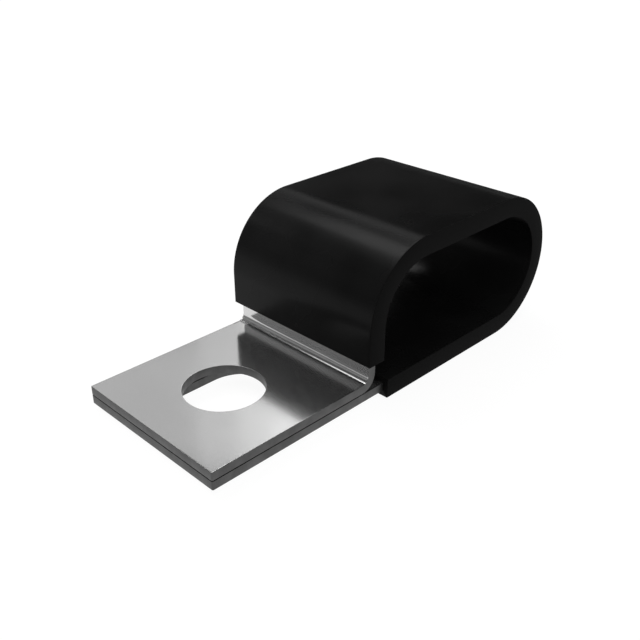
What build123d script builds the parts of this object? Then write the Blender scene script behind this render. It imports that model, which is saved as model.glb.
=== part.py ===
from build123d import *
import os

# A clip for two pipes side by side. One strip of sheet steel is folded round both pipes, and its
# two ends lie on each other as a tab for one bolt. A rubber sleeve covers the strip round the pipes.
# X runs along the pipes, Y from the tab to the pipes, Z up. The origin is the bolt's axis on the
# underside of the tab. All sizes are in millimetres.

# The pipes, and the room round each one inside the rubber
pipe_diameter = 12.0
pipe_room = 0.6
pipe_pitch = 14.3

# The steel strip, and the bend between its leg and the upper leaf of the tab
band_width = 20.0
band_thickness = 1.0
bend_radius = 0.9
leaf_gap = 0.04

# The tab: what lies on each side of the bolt, the bolt's room, and how far it can be shifted
hole_to_end = 9.6
hole_to_near_pipe = 19.1
bolt_diameter = 8.0
bolt_room = 0.7
slot_travel = 4.2

# The rubber sleeve, its looseness on the strip, and the steel left bare at its two ends
sleeve_wall = 0.6
sleeve_slack = 0.04
bare_foot = 1.35
bare_leg = 2.3

# Worked out: the loop, from the pipes outwards
bore_radius = (pipe_diameter + pipe_room) / 2
band_lift = sleeve_wall + sleeve_slack
sleeve_depth = band_lift + band_thickness + band_lift
cavity_depth = sleeve_slack + band_thickness + sleeve_slack
cavity_width = sleeve_slack + band_width + sleeve_slack
sleeve_width = sleeve_wall + cavity_width + sleeve_wall

# Worked out: where the pipes, the leg and the two leaves lie
near_y = hole_to_near_pipe
far_y = near_y + pipe_pitch
pipe_z = band_thickness + band_lift + bore_radius
tab_end_y = -hole_to_end
leg_y = near_y - bore_radius - band_lift
upper_leaf_z = band_thickness + leaf_gap
tab_top_z = upper_leaf_z + band_thickness
bend_top_z = tab_top_z + bend_radius
hole_radius = (bolt_diameter + bolt_room) / 2
sleeve_low_y = leg_y + bare_foot
sleeve_high_z = tab_top_z + bare_leg


def loop_line(lift, low_end_y, high_end_z):
    """Draws the line of a face that runs round both pipes, lift away from the rubber's bore.

    It starts under the pipes at low_end_y and ends on the leg at high_end_z. It gives back both ends.
    """
    radius = bore_radius + lift
    floor = Line((low_end_y, pipe_z - radius), (far_y, pipe_z - radius))
    far_turn = JernArc(floor @ 1, floor % 1, radius, 180)
    roof = Line(far_turn @ 1, (near_y, pipe_z + radius))
    near_turn = JernArc(roof @ 1, roof % 1, radius, 90)
    leg = Line(near_turn @ 1, (near_y - radius, high_end_z))
    return floor @ 0, leg @ 1


def loop_wall(lift, depth, low_end_y, high_end_z):
    """Draws the closed outline of a wall round both pipes, depth thick, cut square at both ends."""
    inner_ends = loop_line(lift, low_end_y, high_end_z)
    outer_ends = loop_line(lift + depth, low_end_y, high_end_z)
    for inner_end, outer_end in zip(inner_ends, outer_ends):
        Line(inner_end, outer_end)


# The strip is drawn as the two lines of its faces, from the end of the lower leaf round the pipes to
# the end of the upper leaf. The upper leaf has a round hole and the lower leaf a slot, so that a bolt
# still passes when the leaves don't meet exactly.
with BuildPart() as band:
    with BuildSketch(Plane.YZ) as strip_section:
        with BuildLine() as strip_outline:
            inner_end, inner_leg = loop_line(band_lift, tab_end_y, bend_top_z)
            outer_end, outer_leg = loop_line(band_lift + band_thickness, tab_end_y, bend_top_z)
            under_bend = JernArc(inner_leg, (0, -1), bend_radius + band_thickness, -90)
            over_bend = JernArc(outer_leg, (0, -1), bend_radius, -90)
            Polyline(under_bend @ 1, (tab_end_y, upper_leaf_z), (tab_end_y, tab_top_z), over_bend @ 1)
            Line(inner_end, outer_end)
        make_face()
    extrude(amount=band_width / 2, both=True)
    with BuildSketch(Plane.XY.offset(tab_top_z)) as round_hole:
        Circle(hole_radius)
    extrude(amount=-(band_thickness + leaf_gap / 2), mode=Mode.SUBTRACT)
    with BuildSketch(Plane.XY) as slot:
        SlotCenterToCenter(slot_travel, 2 * hole_radius, rotation=90)
    extrude(amount=band_thickness + leaf_gap / 2, mode=Mode.SUBTRACT)
band.part.label = "band"

# The sleeve is a tube of flattened section that follows the strip and is open at both ends.
with BuildPart() as sleeve:
    with BuildSketch(Plane.YZ) as sleeve_section:
        with BuildLine() as sleeve_outline:
            loop_wall(0, sleeve_depth, sleeve_low_y, sleeve_high_z)
        make_face()
    extrude(amount=sleeve_width / 2, both=True)
    with BuildSketch(Plane.YZ) as cavity_section:
        with BuildLine() as cavity_outline:
            loop_wall(sleeve_wall, cavity_depth, sleeve_low_y, sleeve_high_z)
        make_face()
    extrude(amount=cavity_width / 2, both=True, mode=Mode.SUBTRACT)
sleeve.part.label = "sleeve"

os.makedirs("parts", exist_ok=True)
export_step(band.part, "parts/band.step")
export_step(sleeve.part, "parts/sleeve.step")
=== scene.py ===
import math

import bpy
import numpy as np
from mathutils import Matrix, Vector


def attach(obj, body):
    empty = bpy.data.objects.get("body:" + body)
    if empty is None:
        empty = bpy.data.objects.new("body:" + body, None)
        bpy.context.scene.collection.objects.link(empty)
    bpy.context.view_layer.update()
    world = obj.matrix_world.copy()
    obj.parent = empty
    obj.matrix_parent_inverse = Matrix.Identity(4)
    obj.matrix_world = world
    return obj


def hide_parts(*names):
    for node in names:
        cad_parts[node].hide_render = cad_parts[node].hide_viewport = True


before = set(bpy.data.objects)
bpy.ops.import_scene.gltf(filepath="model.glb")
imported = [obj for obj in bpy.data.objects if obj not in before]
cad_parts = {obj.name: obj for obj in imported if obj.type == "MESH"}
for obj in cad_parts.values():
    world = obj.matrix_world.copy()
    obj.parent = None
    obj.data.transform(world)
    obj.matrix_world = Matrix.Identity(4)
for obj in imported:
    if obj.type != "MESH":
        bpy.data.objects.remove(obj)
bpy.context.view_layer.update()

# The steel strip. One strip of smooth rolled sheet steel, 20 mm wide and 1 mm thick, is punched
# with a round hole and a slot, then folded round both pipes. Its two ends lie on each other as the
# bolt tab. The rolled faces are bright and satin, and the sheared edges are rougher and darker.
# Their dark grey is partly the duller sheared steel and partly painted shade, and the faces where
# the two leaves lie on each other carry it as painted shade in the seam.

# Sizes are in millimetres, and a place seen along the pipes is (Y, Z). The sheet is drawn 0.03 mm
# thinner than it is, so that a thin dark seam shows between the two leaves of the tab. Each leaf
# with its hole is worked out by itself up to leaf_join, where its points meet the folded strip's.
mm = 0.001
strip_width = 20.0
strip_thickness = 0.97
strip_edge_round = 0.03
tab_end = -9.6
tab_top = 2.04
tab_corner_round = 0.15
leaf_join = 9.6
hole_radius = 4.35
slot_reach = 2.1
near_pipe = np.array([19.1, 7.94])
far_pipe = np.array([33.4, 7.94])
strip_outside_radius = 7.94
bend_middle = np.array([10.26, 2.94])
bend_hollow_radius = 0.9

# Where the middle of the sheet lies
lower_leaf_z = strip_thickness / 2
upper_leaf_z = tab_top - strip_thickness / 2
strip_radius = strip_outside_radius - strip_thickness / 2
bend_radius = bend_hollow_radius + strip_thickness / 2

# Steps of the strip's surface
edge_steps = 4
floor_steps = 8
wall_steps = 4
foot_steps = 2
bend_steps = 24
strip_turn_steps = 36
strip_across_steps = 48
tab_corner_steps = 6
rim_to_edge_steps = 5

# How far from its end a run has its extra point, how fast the mark of a cut edge rises, to how many
# digits two points agree that become one, and the angle from which an edge stays sharp. The fast
# rise spreads the dark edge grey over most of each rounded edge, as painted shade that keeps its
# highlight dim.
end_share = 0.01
cut_and_shade_mark_rise = 3
weld_digits = 5
crease_angle = math.radians(35)


def spread(steps):
    """Shares from 0 to 1 in even steps, and one more near each end, where a rounded edge begins."""
    even = np.linspace(0, 1, steps + 1)
    return np.r_[0, end_share, even[1:-1], 1 - end_share, 1]


def straight_run(start, end, out, steps):
    """A straight run: start plus a share of the way to end, with one outward direction."""
    start, end = np.asarray(start), np.asarray(end)
    points = start + spread(steps)[:, None] * (end - start)
    return np.hstack([points, np.broadcast_to(out, points.shape)])


def round_run(middle, radius, first, last, steps):
    """A round run: middle plus radius times the outward direction, which turns evenly.

    With a radius below zero the run is hollow, and its outward direction points to its middle.
    """
    angle = np.radians(np.linspace(first, last, steps + 1))
    out = np.column_stack([np.cos(angle), np.sin(angle)])
    return np.hstack([middle + radius * out, out])


def joined_runs(*runs):
    """One line from runs that meet end to end. The point that two runs share is kept once."""
    return np.vstack([runs[0]] + [run[1:] for run in runs[1:]])


def edge_round(thickness, radius):
    """How the surface turns over the edge of a sheet, from its upper face to its lower face.

    The reach out of the edge is radius times the cosine, and the height adds radius times the sine.
    The mark of a cut edge is three times the cosine, but 1 at most, so it is 0 only on a face.
    Rising this fast, it lays the dark edge grey over most of the round as painted shade.
    """
    upper = np.linspace(90, 0, edge_steps + 1)
    lower = np.linspace(0, -90, edge_steps + 1)
    angle = np.radians(np.r_[upper, lower])
    side = np.repeat([1.0, -1.0], edge_steps + 1)
    height = side * (thickness / 2 - radius) + radius * np.sin(angle)
    cut = np.clip(cut_and_shade_mark_rise * np.cos(angle), 0, 1)
    return np.column_stack([radius * np.cos(angle), height, cut])


def flat_section(width, thickness, radius, steps):
    """The closed outline of a flat bar with rounded edges: X, height and the mark of its edges,
    which carries the cut-edge finish and painted shade.

    A face's X goes evenly from plus to minus half the flat width, and each end is an edge round.
    """
    face_half = width / 2 - radius
    face_x = (face_half * (1 - 2 * spread(steps)))[1:-1]
    edge = edge_round(thickness, radius)
    face = np.column_stack([face_x, np.full_like(face_x, thickness / 2), np.zeros_like(face_x)])
    left = edge * (-1, 1, 1) - (face_half, 0, 0)
    right = edge[::-1] + (face_half, 0, 0)
    return np.vstack([face, left, face[::-1] * (1, -1, 1), right])


def length_along(line):
    """How far each point of a line is from its start: the sum of the steps up to it."""
    step = np.linalg.norm(np.diff(line[:, :2], axis=0), axis=1)
    return np.r_[0, np.cumsum(step)]


def surface(x, y, z, cut, along, height):
    """A grid of points: place, mark of cut edges and painted shade, and the place on the strip as
    if unrolled.

    The unrolled place is X, the distance along the strip from the tab's end, and the height on it.
    """
    return np.stack(np.broadcast_arrays(x, y, z, cut, x, along, height), axis=-1)


def carried(section, line, along):
    """A section carried along a line in the Y and Z plane.

    Each point is the line's point plus the section's height times the outward direction, and it is
    moved in X.
    """
    across, height, cut = section.T
    y, z = (line[:, i, None] + height * line[:, i + 2, None] for i in (0, 1))
    return surface(across, y, z, cut, along[:, None], height)


def leaf_outline(half_width, end, join, corner, steps):
    """The line round one leaf, seen from above: X, Y and its outward direction.

    It runs along the joined side, down the left, round the end and up the right. A corner is its
    middle plus the corner's radius times the outward direction. The function also gives which
    steps are on the joined side.
    """
    left, right, to_end, to_pipes = (-1.0, 0.0), (1.0, 0.0), (0.0, -1.0), (0.0, 1.0)
    low = end + corner
    inner = half_width - corner
    joined = straight_run((half_width, join), (-half_width, join), to_pipes, steps)[1:-1]
    free = joined_runs(
        straight_run((-half_width, join), (-half_width, low), left, steps),
        round_run((-inner, low), corner, 180, 270, tab_corner_steps),
        straight_run((-inner, end), (inner, end), to_end, steps),
        round_run((inner, low), corner, 270, 360, tab_corner_steps),
        straight_run((half_width, low), (half_width, join), right, steps),
    )
    on_join = np.r_[np.ones(len(joined), bool), np.zeros(len(free) - 1, bool), True]
    return np.vstack([joined, free]), on_join


def holed_leaf(outline, reach, middle_z, outward, join_along):
    """One leaf with its hole: a ring of quads from the hole's rim to the outline and back below.

    The hole's middle is a line of the given reach to each side in Y. Each point of the rim lies
    one radius from that line, on the way to the outline's point, so reach 0 gives a round hole.
    The face that lies on the other leaf gets the full mark of a cut edge, so that the dark cut-edge
    grey paints shade into the seam. The function also gives which steps are on the leaf's outer
    edge.
    """
    points, out = outline[:, None, :2], outline[:, None, 2:]
    middle = points * (0, 1)
    middle[..., 1] = np.clip(middle[..., 1], -reach, reach)
    away = points - middle
    away /= np.linalg.norm(away, axis=-1, keepdims=True)
    rim = middle + (hole_radius + strip_edge_round) * away

    half = strip_thickness / 2
    edge = edge_round(strip_thickness, strip_edge_round)
    to_edge = spread(rim_to_edge_steps)[1:-1]
    face = np.zeros((len(to_edge), 3)) + (0, half, 0)
    section = np.vstack([face, edge, face * (1, -1, 1), edge[::-1]])
    beyond, rise, cut = section.T
    share = np.r_[to_edge, np.ones(len(edge)), to_edge[::-1], np.zeros(len(edge))]
    from_rim = rim - beyond[:, None] * away
    from_outline = points + beyond[:, None] * out
    place = (1 - share)[:, None] * from_rim + share[:, None] * from_outline
    x, y = place[..., 0], place[..., 1]

    # Painted shade: the faces of the two leaves that lie on each other take the dark cut-edge
    # finish, so the seam between them reads dark.
    painted_seam_shade_face = np.isclose(outward * rise, -half)
    cut_and_seam_shade = np.where(painted_seam_shade_face, 1.0, cut)
    on_edge = np.zeros(len(section), bool)
    on_edge[len(face):len(face) + len(edge) - 1] = True
    along = join_along + outward * (leaf_join - y)
    return surface(x, y, middle_z + rise, cut_and_seam_shade, along, outward * rise), on_edge


def quads(points, wrap_rows=False):
    """The faces of a grid of points: each point with its neighbours on the row and the column.

    A row always closes on its own start, and the last row closes on the first where asked.
    """
    number = np.arange(points.shape[0] * points.shape[1]).reshape(points.shape[:2])
    if wrap_rows:
        number = np.vstack([number, number[:1]])
    number = np.hstack([number, number[:, :1]])
    corners = [number[:-1, :-1], number[:-1, 1:], number[1:, 1:], number[1:, :-1]]
    return np.stack(corners, axis=-1)


def welded_piece(name, sheets):
    """One closed shell from sheets of quads, in millimetres. Points that share a place become one.

    The mark of cut edges and painted shade and the unrolled place go into the mesh as attributes
    for its material.
    """
    starts = np.cumsum([0] + [points[..., 0].size for points, _ in sheets[:-1]])
    faces = np.vstack([faces.reshape(-1, 4) + start for (_, faces), start in zip(sheets, starts)])
    points = np.vstack([points.reshape(-1, points.shape[-1]) for points, _ in sheets])
    used, faces = np.unique(faces, return_inverse=True)
    points, faces = points[used], faces.reshape(-1, 4)
    _, first, number = np.unique(
        np.round(points[:, :3], weld_digits), axis=0, return_index=True, return_inverse=True,
    )
    points, faces = points[first], number.ravel()[faces]
    mesh = bpy.data.meshes.new(name)
    mesh.from_pydata(points[:, :3] * mm, [], faces.tolist())
    cut = points[:, 3].astype(np.float32)
    mesh.attributes.new("cut_edge_and_painted_shade", "FLOAT", "POINT").data.foreach_set("value", cut)
    unrolled = points[:, 4:].astype(np.float32).ravel()
    mesh.attributes.new("unrolled", "FLOAT_VECTOR", "POINT").data.foreach_set("vector", unrolled)
    mesh.shade_smooth()
    mesh.set_sharp_from_angle(angle=crease_angle)
    piece = bpy.data.objects.new(name, mesh)
    bpy.context.scene.collection.objects.link(piece)
    return piece


down, up, to_tab = (0.0, -1.0), (0.0, 1.0), (-1.0, 0.0)
lower_join = np.array([leaf_join, lower_leaf_z])
upper_join = np.array([leaf_join, upper_leaf_z])
strip_line = joined_runs(
    straight_run(lower_join, far_pipe - (0, strip_radius), down, floor_steps),
    round_run(far_pipe, strip_radius, -90, 90, 2 * strip_turn_steps),
    straight_run(far_pipe + (0, strip_radius), near_pipe + (0, strip_radius), up, wall_steps),
    round_run(near_pipe, strip_radius, 90, 180, strip_turn_steps),
    straight_run(near_pipe - (strip_radius, 0), bend_middle + (bend_radius, 0), to_tab, wall_steps),
    round_run(bend_middle, -bend_radius, 180, 90, bend_steps),
    straight_run(bend_middle - (0, bend_radius), upper_join, up, foot_steps),
)
strip_section = flat_section(strip_width, strip_thickness, strip_edge_round, strip_across_steps)
strip_along = leaf_join - tab_end + length_along(strip_line)
strip_sheet = carried(strip_section, strip_line, strip_along)
outline, on_join = leaf_outline(
    strip_width / 2 - strip_edge_round, tab_end + strip_edge_round, leaf_join,
    tab_corner_round - strip_edge_round, strip_across_steps,
)
strip_sheets = [(strip_sheet, quads(strip_sheet))]
leaves = (
    (slot_reach, lower_leaf_z, -1, strip_along[0]),
    (0.0, upper_leaf_z, 1, strip_along[-1]),
)
for reach, middle_z, outward, join_along in leaves:
    leaf, on_edge = holed_leaf(outline, reach, middle_z, outward, join_along)
    kept = ~(on_join[:, None] & on_edge[None, :])
    strip_sheets.append((leaf, quads(leaf, wrap_rows=True)[kept]))
strip = welded_piece("steel_strip", strip_sheets)

# The marks that both finishes share are fine lines the long way of the surface and soft clouds.
# Their sizes are in millimetres.
node_spacing = 220
line_detail = 3.0
cloud_detail = 2.0
mark_range = (0.25, 0.75)


def fill(tree, node, inputs):
    """Fills a node's inputs, called by name or number. A socket is linked and a value is set."""
    for key, value in inputs.items():
        if isinstance(value, bpy.types.NodeSocket):
            tree.links.new(value, node.inputs[key])
        else:
            node.inputs[key].default_value = value


def wired_node(tree, kind, place, inputs, **settings):
    """A node of the given kind in a tree, at a place on its grid, with its settings and inputs."""
    node = tree.nodes.new(kind)
    node.location = (place[0] * node_spacing, place[1] * node_spacing)
    for name, value in settings.items():
        setattr(node, name, value)
    fill(tree, node, inputs)
    return node


def worked_out(tree, place, operation, *numbers):
    """The result of one operation, such as MULTIPLY, on numbers or sockets."""
    inputs = dict(enumerate(numbers))
    return wired_node(tree, "ShaderNodeMath", place, inputs, operation=operation).outputs[0]


def number_between(tree, place, share, low, high):
    """A number that goes from low to high as the share goes from 0 to 1."""
    inputs = {0: share, 2: low, 3: high}
    return wired_node(tree, "ShaderNodeMix", place, inputs, data_type="FLOAT").outputs[0]


def grey_between(tree, place, share, low, high):
    """A grey that goes from low to high as the share goes from 0 to 1.

    Each end is a level or the socket of a colour.
    """
    inputs = {0: share}
    for key, end in ((6, low), (7, high)):
        inputs[key] = end if isinstance(end, bpy.types.NodeSocket) else (end, end, end, 1.0)
    return wired_node(tree, "ShaderNodeMix", place, inputs, data_type="RGBA").outputs[2]


def soft_step(tree, place, value, start, end, low=0.0, high=1.0):
    """A number that goes smoothly from low to high as the value goes from start to end."""
    inputs = {"Value": value, "From Min": start, "From Max": end, "To Min": low, "To Max": high}
    return wired_node(
        tree, "ShaderNodeMapRange", place, inputs, interpolation_type="SMOOTHSTEP",
    ).outputs[0]


def of_piece(tree, place, name, output):
    """What a piece's mesh says at a point: its mark of cut edges and painted shade, or its unrolled
    place.
    """
    return wired_node(tree, "ShaderNodeAttribute", place, {}, attribute_name=name).outputs[output]


def raised(tree, place, height, distance):
    """The normal of a surface that is raised by the height times the distance, in metres."""
    inputs = {"Height": height, "Distance": distance}
    return wired_node(tree, "ShaderNodeBump", place, inputs).outputs[0]


def fresh_material(name):
    """A material with only an output and a shader, ready for its own nodes."""
    material = bpy.data.materials.new(name)
    material.use_nodes = True
    tree = material.node_tree
    tree.nodes.clear()
    shader = wired_node(tree, "ShaderNodeBsdfPrincipled", (4, 0), {})
    wired_node(tree, "ShaderNodeOutputMaterial", (5, 0), {"Surface": shader.outputs["BSDF"]})
    return material, tree, shader


def lines_and_clouds():
    """The shared group of marks: fine lines the long way of a surface, and soft clouds on it.

    Both are noise at the given place, in millimetres. For the lines the place is first divided by
    their width, and the long way by their length. For the clouds it is divided by their size.
    """
    group = bpy.data.node_groups.new("lines_and_clouds", "ShaderNodeTree")
    group.interface.new_socket("Place", in_out="INPUT", socket_type="NodeSocketVector")
    for name in ("Line Width", "Line Length", "Cloud Size"):
        group.interface.new_socket(name, in_out="INPUT", socket_type="NodeSocketFloat")
    for name in ("Lines", "Clouds"):
        group.interface.new_socket(name, in_out="OUTPUT", socket_type="NodeSocketFloat")
    given = wired_node(group, "NodeGroupInput", (0, 0), {}).outputs
    line_size = wired_node(
        group, "ShaderNodeCombineXYZ", (1, 1),
        {"X": given["Line Width"], "Y": given["Line Length"], "Z": given["Line Width"]},
    ).outputs[0]
    kinds = (
        ("Lines", 1, line_size, line_detail),
        ("Clouds", 0, given["Cloud Size"], cloud_detail),
    )
    marks = {}
    for name, row, size, detail in kinds:
        divided = wired_node(
            group, "ShaderNodeVectorMath", (2, row), {0: given["Place"], 1: size},
            operation="DIVIDE",
        ).outputs[0]
        noise = wired_node(
            group, "ShaderNodeTexNoise", (3, row),
            {"Vector": divided, "Scale": 1.0, "Detail": detail},
        ).outputs["Fac"]
        marks[name] = soft_step(group, (4, row), noise, *mark_range)
    wired_node(group, "NodeGroupOutput", (5, 0), marks)
    return group


shared_marks = lines_and_clouds()


def marked(tree, place, where, sizes):
    """The shared marks, placed in a material with its own sizes: lines and clouds."""
    inputs = {"Place": where, **sizes}
    marks = wired_node(tree, "ShaderNodeGroup", place, inputs, node_tree=shared_marks).outputs
    return marks["Lines"], marks["Clouds"]


# The steel's finish. Each pair goes from the darkest or smoothest place to the lightest or
# roughest. A rolled line's height is in metres, and a shear line's is so many times as great.
rolled_marks = {"Line Width": 0.14, "Line Length": 14.0, "Cloud Size": 6.0}
rolled_grey = (0.60, 0.63)
rolled_roughness = (0.11, 0.13)
rolled_line_roughness = 0.02
rolled_line_height = 1.2e-7
sheared_marks = {"Line Width": 0.09, "Line Length": 1.2, "Cloud Size": 1.5}
# The sheared edges' grey: partly the duller sheared steel, partly painted shade that keeps the
# edges dark.
sheared_grey_and_shade = (0.076, 0.104)
sheared_roughness = (0.38, 0.50)
sheared_line_rise = 20.0
steel_metallic = 0.955
steel_film_roughness = 0.27

steel, tree, shader = fresh_material("satin_sheet_steel")
cut_edge_and_painted_shade = of_piece(tree, (0, 2), "cut_edge_and_painted_shade", "Fac")

# The rolled faces, with faint lines the long way of the strip
unrolled = of_piece(tree, (-3, 0), "unrolled", "Vector")
lines, clouds = marked(tree, (-1, 1), unrolled, rolled_marks)
face_grey = grey_between(tree, (0, 1), clouds, *rolled_grey)
face_roughness = worked_out(
    tree, (1, 0.5), "MULTIPLY_ADD", lines, rolled_line_roughness,
    number_between(tree, (0, 0.5), clouds, *rolled_roughness),
)

# The cut edges, with shear lines through the sheet's thickness, and a dark grey that is partly the
# duller sheared steel and partly painted shade
split = wired_node(tree, "ShaderNodeSeparateXYZ", (-2, -1), {"Vector": unrolled}).outputs
through = wired_node(
    tree, "ShaderNodeCombineXYZ", (-1.5, -1), {"X": split["X"], "Y": split["Z"], "Z": split["Y"]},
).outputs[0]
shear_lines, shear_clouds = marked(tree, (-1, -1), through, sheared_marks)
cut_grey_and_shade = grey_between(tree, (0, -1), shear_clouds, *sheared_grey_and_shade)
cut_roughness = number_between(tree, (0, -1.5), shear_lines, *sheared_roughness)
cut_height = worked_out(tree, (1, -1), "MULTIPLY", shear_lines, sheared_line_rise)

# Both together. A thin clear film lies on the faces only.
height = number_between(tree, (2, -1), cut_edge_and_painted_shade, lines, cut_height)
fill(tree, shader, {
    "Base Color": grey_between(tree, (2, 1), cut_edge_and_painted_shade, face_grey, cut_grey_and_shade),
    "Roughness": number_between(tree, (2, 0), cut_edge_and_painted_shade, face_roughness, cut_roughness),
    "Metallic": steel_metallic,
    "Coat Weight": number_between(tree, (3, 1), cut_edge_and_painted_shade, 1.0, 0.0),
    "Coat Roughness": steel_film_roughness,
    "Normal": raised(tree, (3, -1), height, rolled_line_height),
})
strip.data.materials.append(steel)
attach(strip, "root")
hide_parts("band")

# The rubber sleeve. A flattened tube of soft black rubber is pushed over the strip before it is
# folded, so that it wraps the strip's faces and edges all round the loop. Both of its ends are cut
# square. Its skin is satin, and it grows dull where it is seen at a grazing angle.
sleeve_width = 21.28
sleeve_depth = 2.28
cavity_width = 20.08
cavity_depth = 1.08
sleeve_edge_round = 0.06
sleeve_radius = 7.44
sleeve_low_end = 13.51
sleeve_high_end = 4.34
sleeve_turn_steps = 48
sleeve_roof_steps = 6
sleeve_across_steps = 12

sleeve_low_point = (sleeve_low_end, near_pipe[1] - sleeve_radius)
sleeve_high_point = (near_pipe[0] - sleeve_radius, sleeve_high_end)
over_far_pipe = far_pipe + (0, sleeve_radius)
over_near_pipe = near_pipe + (0, sleeve_radius)
sleeve_line = joined_runs(
    straight_run(sleeve_low_point, far_pipe - (0, sleeve_radius), down, floor_steps),
    round_run(far_pipe, sleeve_radius, -90, 90, 2 * sleeve_turn_steps),
    straight_run(over_far_pipe, over_near_pipe, up, sleeve_roof_steps),
    round_run(near_pipe, sleeve_radius, 90, 180, sleeve_turn_steps),
    straight_run(near_pipe - (sleeve_radius, 0), sleeve_high_point, to_tab, wall_steps),
)
sleeve_along = length_along(sleeve_line)
outside = flat_section(sleeve_width, sleeve_depth, sleeve_edge_round, sleeve_across_steps)
inside = flat_section(cavity_width, cavity_depth, sleeve_edge_round, sleeve_across_steps)
sleeve_sheet = np.vstack([
    carried(outside, sleeve_line, sleeve_along),
    carried(inside, sleeve_line[::-1], sleeve_along[::-1]),
])
sleeve = welded_piece("rubber_sleeve", [(sleeve_sheet, quads(sleeve_sheet, wrap_rows=True))])

# The rubber's finish: faint drawing lines, soft clouds and a fine grain, and a darker grey on the
# tube's sides as painted shade. The height is in metres.
# The bloom is the dull look at a grazing angle, and it grows between two levels of Layer Weight.
drawing_marks = {"Line Width": 0.35, "Line Length": 12.0, "Cloud Size": 7.0}
grain_size = 0.16
grain_detail = 2.0
rubber_line_share = 0.4
rubber_height = 8e-7
rubber_grey = (0.006, 0.009)
rubber_roughness = (0.24, 0.29)
# Painted shade: the tube's sides, where the edge mark is 1, get a darker grey than its faces.
rubber_side_painted_shade = 0.004
rubber_side_roughness = 0.8
rubber_bloom_roughness = 0.8
rubber_bloom_facing = (0.62, 0.86)
rubber_specular = 0.07
bloom_blend = 0.5

rubber, tree, shader = fresh_material("satin_black_rubber")
side = of_piece(tree, (0, 2), "cut_edge_and_painted_shade", "Fac")
unrolled = of_piece(tree, (-2, 0), "unrolled", "Vector")
lines, clouds = marked(tree, (0, 0), unrolled, drawing_marks)
grain = wired_node(
    tree, "ShaderNodeTexNoise", (0, -1),
    {"Vector": unrolled, "Scale": 1 / grain_size, "Detail": grain_detail},
).outputs["Fac"]
facing = wired_node(tree, "ShaderNodeLayerWeight", (1, 3), {"Blend": bloom_blend}).outputs["Facing"]
bloom = soft_step(tree, (2, 3), facing, *rubber_bloom_facing)
face_grey = grey_between(tree, (1, 1), clouds, *rubber_grey)
face_roughness = number_between(tree, (1, 0), clouds, *rubber_roughness)
roughness = number_between(tree, (2, 0), side, face_roughness, rubber_side_roughness)
height = number_between(tree, (1, -1), rubber_line_share, grain, lines)
# Painted shade: the sides take the darker side grey.
fill(tree, shader, {
    "Base Color": grey_between(tree, (2, 1), side, face_grey, rubber_side_painted_shade),
    "Roughness": number_between(tree, (3, 0), bloom, roughness, rubber_bloom_roughness),
    "Specular IOR Level": rubber_specular,
    "Normal": raised(tree, (3, -1), height, rubber_height),
})
sleeve.data.materials.append(rubber)
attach(sleeve, "root")
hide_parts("sleeve")

# The floor. The clip lies on the rubber's flat underside on a plain pale floor. The floor shows
# white to the camera and in the metal and the rubber, and it keeps the clip's soft shadow.
floor_half = 2000.0
floor_z = -0.64
floor_grey = 0.12
floor_white = 0.93

floor_corners = np.array([
    (-floor_half, -floor_half, floor_z), (floor_half, -floor_half, floor_z),
    (floor_half, floor_half, floor_z), (-floor_half, floor_half, floor_z),
])
floor_mesh = bpy.data.meshes.new("floor")
floor_mesh.from_pydata(floor_corners * mm, [], [(0, 1, 2, 3)])
floor = bpy.data.objects.new("floor", floor_mesh)
bpy.context.scene.collection.objects.link(floor)
pale, tree, shader = fresh_material("pale_floor")
ray = wired_node(tree, "ShaderNodeLightPath", (0, 0), {}).outputs
seen = worked_out(tree, (1, 0), "MAXIMUM", ray["Is Camera Ray"], ray["Is Glossy Ray"])
seen = worked_out(tree, (2, 0), "MAXIMUM", seen, ray["Is Transmission Ray"])
fill(tree, shader, {
    "Base Color": (floor_grey, floor_grey, floor_grey, 1.0),
    "Roughness": 1.0,
    "Specular IOR Level": 0.0,
    "Emission Color": (1.0, 1.0, 1.0, 1.0),
    "Emission Strength": worked_out(tree, (3, 0), "MULTIPLY", seen, floor_white),
})
floor.data.materials.append(pale)

# The room. A white wall stands all round and fades into a dim ceiling between two heights. Two soft
# round places are darker. A row gives the azimuth and elevation of its middle, the angle up to
# which it is darkest, the angle at which it ends, and the share of the light that is left.
wall_white = 1.0
ceiling_grey = 0.10
wall_top = (math.sin(math.radians(17)), math.sin(math.radians(27)))
dim_places = (
    (-138, 14, 14, 20.5, 0.0),
    (-39, 20, 7, 26, 0.15),
)


def direction(azimuth, elevation):
    """A unit step from the clip. Azimuth 0 is in front of the tab's end, 90 on the right.

    It is the sine and minus the cosine of the azimuth, times the cosine of the elevation, and
    the sine of the elevation.
    """
    turn, lift = math.radians(azimuth), math.radians(elevation)
    flat = math.cos(lift)
    return Vector((math.sin(turn) * flat, -math.cos(turn) * flat, math.sin(lift)))


world = bpy.data.worlds.new("room")
bpy.context.scene.world = world
world.use_nodes = True
tree = world.node_tree
tree.nodes.clear()
way = wired_node(tree, "ShaderNodeTexCoord", (0, 0), {}).outputs["Generated"]
rise = wired_node(tree, "ShaderNodeSeparateXYZ", (1, 0), {"Vector": way}).outputs["Z"]
level = soft_step(tree, (2, 0), rise, *wall_top, wall_white, ceiling_grey)
for row, (azimuth, elevation, darkest, ended, left_over) in enumerate(dim_places, start=1):
    nearness = wired_node(
        tree, "ShaderNodeVectorMath", (1, row), {0: way, 1: direction(azimuth, elevation)},
        operation="DOT_PRODUCT",
    ).outputs["Value"]
    start, full = (math.cos(math.radians(angle)) for angle in (ended, darkest))
    dimming = soft_step(tree, (2, row), nearness, start, full, 1.0, left_over)
    level = worked_out(tree, (2 + row, 0), "MULTIPLY", level, dimming)
room = wired_node(
    tree, "ShaderNodeBackground", (5, 0), {"Color": (1.0, 1.0, 1.0, 1.0), "Strength": level},
)
wired_node(tree, "ShaderNodeOutputWorld", (6, 0), {"Surface": room.outputs[0]})

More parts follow.
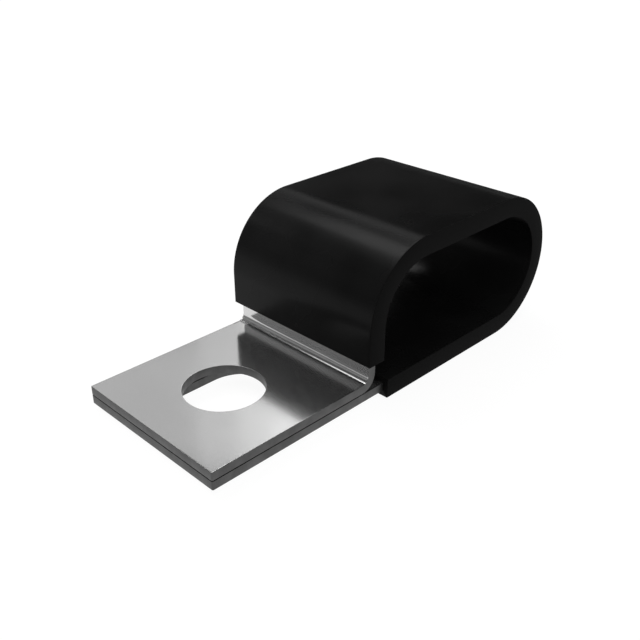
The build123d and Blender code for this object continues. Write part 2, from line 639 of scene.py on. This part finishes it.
# The lamps. Flat soft lamps stand high on the left, behind, on the left side and in front, and a
# wide one hangs above. Each row gives the name, azimuth, elevation, the angles that the lamp fills
# across and high as the clip sees it, and its strength, where 1 shows as white.
clip_middle = Vector((0.0, 16.0, 8.0)) * mm
lamp_distance = 1.0
lamps = (
    ("high_left", -104, 55.5, 17, 15, 4.8),
    ("high_front", -79, 57.5, 18, 13, 1.4),
    ("high_back", -139, 52, 18, 12, 3.0),
    ("top", 45, 88, 60, 60, 1.27),
    ("back_left", -117.5, 32.5, 11.0, 13, 0.53),
    ("back_middle", -125.7, 32, 2.9, 15, 0.70),
    ("back_bright", -129, 32, 2.6, 15, 0.97),
    ("back_right", -135.3, 36, 7.7, 11, 1.27),
    ("left_side", -80, 33, 24, 10, 2.8),
    ("left_low", -66, 20, 24, 26, 0.2),
    ("front_left", -45, 25.5, 30, 15, 0.22),
    ("front", 5, 25, 40, 30, 0.3),
)


def side_across(angle):
    """A lamp's side for an angle: twice the distance times the tangent of half the angle."""
    return 2 * lamp_distance * math.tan(math.radians(angle / 2))


for name, azimuth, elevation, across, high, strength in lamps:
    away = direction(azimuth, elevation)
    lamp = bpy.data.lights.new(name + "_lamp", "AREA")
    lamp.shape = "RECTANGLE"
    lamp.size, lamp.size_y = side_across(across), side_across(high)
    lamp.energy = strength * lamp.size * lamp.size_y * math.pi
    holder = bpy.data.objects.new(name + "_lamp", lamp)
    holder.location = clip_middle + away * lamp_distance
    holder.rotation_euler = away.to_track_quat("Z", "Y").to_euler()
    holder.visible_camera = False
    bpy.context.scene.collection.objects.link(holder)

# The camera. It looks down on the clip from its front right, between the tab's end and its right
# side, and its place and lens give the photograph's view.
camera_place = Vector((58.312, -44.079, 49.173)) * mm
camera_aim = Vector((0.24, 13.76, 4.77)) * mm
camera_roll = math.radians(-0.13)
focal_length = 46.908
sensor_width = 36.0
nearest_seen = 0.001

lens = bpy.data.cameras.new("camera")
lens.lens = focal_length
lens.sensor_width = sensor_width
lens.clip_start = nearest_seen
camera = bpy.data.objects.new("camera", lens)
camera.location = camera_place
level_turn = (camera_aim - camera_place).to_track_quat("-Z", "Y").to_matrix()
camera.rotation_euler = (level_turn @ Matrix.Rotation(camera_roll, 3, "Z")).to_euler()
bpy.context.scene.collection.objects.link(camera)
bpy.context.scene.camera = camera
bpy.context.scene.view_settings.view_transform = "Standard"
